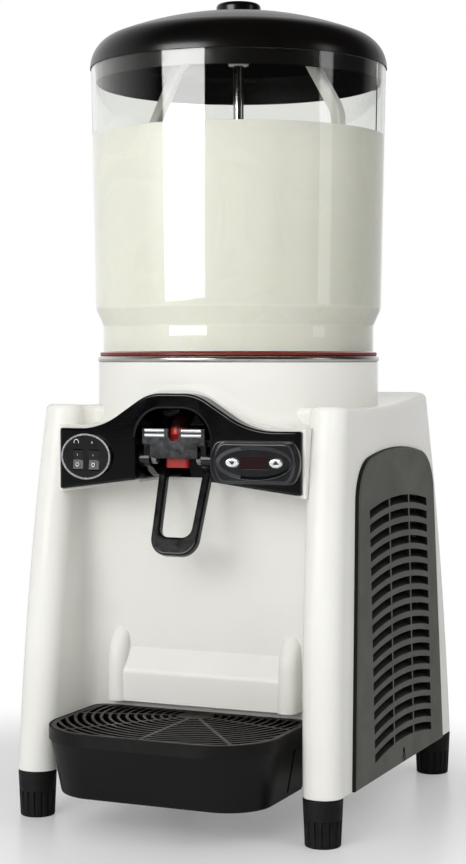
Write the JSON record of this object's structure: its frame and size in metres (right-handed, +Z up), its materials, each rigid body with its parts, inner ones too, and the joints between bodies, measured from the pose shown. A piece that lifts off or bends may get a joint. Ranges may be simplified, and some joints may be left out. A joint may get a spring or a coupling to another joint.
{
  "type": "cold drink dispenser",
  "caption": "Counter-top refrigerated cold drink dispenser with a clear round bowl and domed lid, stirrer, push-lever pinch tap, drip tray and louvred sides.",
  "frame": {"origin": "on the table, under the middle of the footprint", "axes": "+Z up; the tap and drip tray face -Y; +X is to the right for a person who faces the tap"},
  "size_m": [0.321, 0.406, 0.7466],
  "materials": {
    "white_abs": "gloss moulded ABS",
    "agitator_white": "food-grade moulded plastic",
    "fascia_black": "high gloss moulded ABS",
    "face_black": "printed gloss overlay",
    "display_red": "dark red filter",
    "bright_ring": "bright plated ring",
    "switch_black": "satin",
    "button_silver": "silver grey keys",
    "lever_black": "gloss moulded acetal",
    "jaw_black": "gloss moulded acetal",
    "silicone_red": "silicone rubber",
    "tray_black": "satin moulded",
    "lid_black": "satin moulded",
    "clear_bowl": "clear polycarbonate",
    "foot_black": "satin moulded",
    "grille_grey": "satin dark grey",
    "steel": "stainless",
    "zinc_sheet": "zinc-plated sheet",
    "copper": "drawn copper",
    "fin_aluminium": "fin stock",
    "machine_black": "black enamel",
    "fan_plastic": "moulded",
    "seal_rubber": "rubber",
    "foam": "polyurethane foam"
  },
  "bodies": {
    "cabinet": {"base_plate": "zinc_sheet", "body_shell": "white_abs", "bowl_gasket": "silicone_red", "case_screws": "steel", "compressor": "machine_black", "compressor_mounts": "seal_rubber", "condenser_fins": "fin_aluminium", "condenser_tube": "copper", "cooling_pipes": "copper", "cord_gland": "fan_plastic", "display_window": "display_red", "evaporator_coil": "copper", "evaporator_dish": "steel", "fan_motor": "machine_black", "fan_shroud": "fan_plastic", "fascia": "fascia_black", "filter_drier": "copper", "gear_motor": "machine_black", "insulation_ring": "foam", "lever_pins": "steel", "lever_springs": "steel", "motor_bracket": "zinc_sheet", "pinch_anvil": "jaw_black", "pinch_tube": "silicone_red", "rear_panel": "zinc_sheet", "shaft_seal": "seal_rubber", "side_grille_left": "grille_grey", "side_grille_right": "grille_grey", "switch_housings": "switch_black", "switch_plate": "fascia_black", "switch_ring": "bright_ring", "terminal_box": "fan_plastic", "thermostat_case": "fascia_black", "thermostat_face": "face_black", "tray_support": "zinc_sheet"},
    "bowl": {"bowl": "clear_bowl"},
    "lid": {"lid": "lid_black", "lid_knob": "lid_black", "knob_screw": "steel"},
    "agitator": {"agitator": "agitator_white", "drive_shaft": "steel"},
    "fan": {"fan_blade": "fan_plastic"},
    "tap_lever": {"tap_lever": "lever_black", "pinch_plate": "jaw_black"},
    "rocker_stir": {"rocker_stir": "switch_black"},
    "rocker_cool": {"rocker_cool": "switch_black"},
    "button_down": {"button_down": "button_silver"},
    "button_up": {"button_up": "button_silver"},
    "drip_tray": {"drip_tray": "tray_black"},
    "drip_grid": {"drip_grid": "tray_black"},
    "foot_front_left": {"foot_front_left": "foot_black", "stud_front_left": "steel"},
    "foot_front_right": {"foot_front_right": "foot_black", "stud_front_right": "steel"},
    "foot_rear_left": {"foot_rear_left": "foot_black", "stud_rear_left": "steel"},
    "foot_rear_right": {"foot_rear_right": "foot_black", "stud_rear_right": "steel"}
  },
  "joints": [
    {"name": "bowl_lift", "type": "slide", "parent": "cabinet", "child": "bowl", "axis": [0, 0, 1], "range_m": [0, 0.055]},
    {"name": "lid_lift", "type": "slide", "parent": "bowl", "child": "lid", "axis": [0, 0, 1], "range_m": [0, 0.12]},
    {"name": "agitator_spin", "type": "hinge", "parent": "cabinet", "child": "agitator", "pos_m": [0, 0.014, 0.5], "axis": [0, 0, 1], "continuous": true},
    {"name": "fan_spin", "type": "hinge", "parent": "cabinet", "child": "fan", "pos_m": [0.075, 0.082, 0.1405], "axis": [1, 0, 0], "continuous": true},
    {"name": "tap_lever_pivot", "type": "hinge", "parent": "cabinet", "child": "tap_lever", "pos_m": [0, -0.12, 0.327], "axis": [1, 0, 0], "range_deg": [0, 16], "stiffness_Nm_per_rad": 1.2, "springref_deg": -14.32},
    {"name": "rocker_stir_tip", "type": "hinge", "parent": "cabinet", "child": "rocker_stir", "pos_m": [-0.094, -0.12822, 0.325], "axis": [0.9925, -0.1221, 0], "range_deg": [-16, 0]},
    {"name": "rocker_cool_tip", "type": "hinge", "parent": "cabinet", "child": "rocker_cool", "pos_m": [-0.07712, -0.13029, 0.325], "axis": [0.9925, -0.1221, 0], "range_deg": [-16, 0]},
    {"name": "button_down_press", "type": "slide", "parent": "cabinet", "child": "button_down", "axis": [-0.1114, 0.9938, 0], "range_m": [0, 0.0008], "stiffness_N_per_m": 600, "springref_m": -0.001},
    {"name": "button_up_press", "type": "slide", "parent": "cabinet", "child": "button_up", "axis": [-0.1114, 0.9938, 0], "range_m": [0, 0.0008], "stiffness_N_per_m": 600, "springref_m": -0.001},
    {"name": "drip_tray_slide", "type": "slide", "parent": "cabinet", "child": "drip_tray", "axis": [0, -1, 0], "range_m": [0, 0.13]},
    {"name": "drip_grid_lift", "type": "slide", "parent": "drip_tray", "child": "drip_grid", "axis": [0, 0, 1], "range_m": [0, 0.006]},
    {"name": "foot_front_left_turn", "type": "hinge", "parent": "cabinet", "child": "foot_front_left", "pos_m": [-0.139, -0.126, 0.02], "axis": [0, 0, 1], "continuous": true},
    {"name": "foot_front_right_turn", "type": "hinge", "parent": "cabinet", "child": "foot_front_right", "pos_m": [0.139, -0.126, 0.02], "axis": [0, 0, 1], "continuous": true},
    {"name": "foot_rear_left_turn", "type": "hinge", "parent": "cabinet", "child": "foot_rear_left", "pos_m": [-0.139, 0.184, 0.02], "axis": [0, 0, 1], "continuous": true},
    {"name": "foot_rear_right_turn", "type": "hinge", "parent": "cabinet", "child": "foot_rear_right", "pos_m": [0.139, 0.184, 0.02], "axis": [0, 0, 1], "continuous": true}
  ]
}
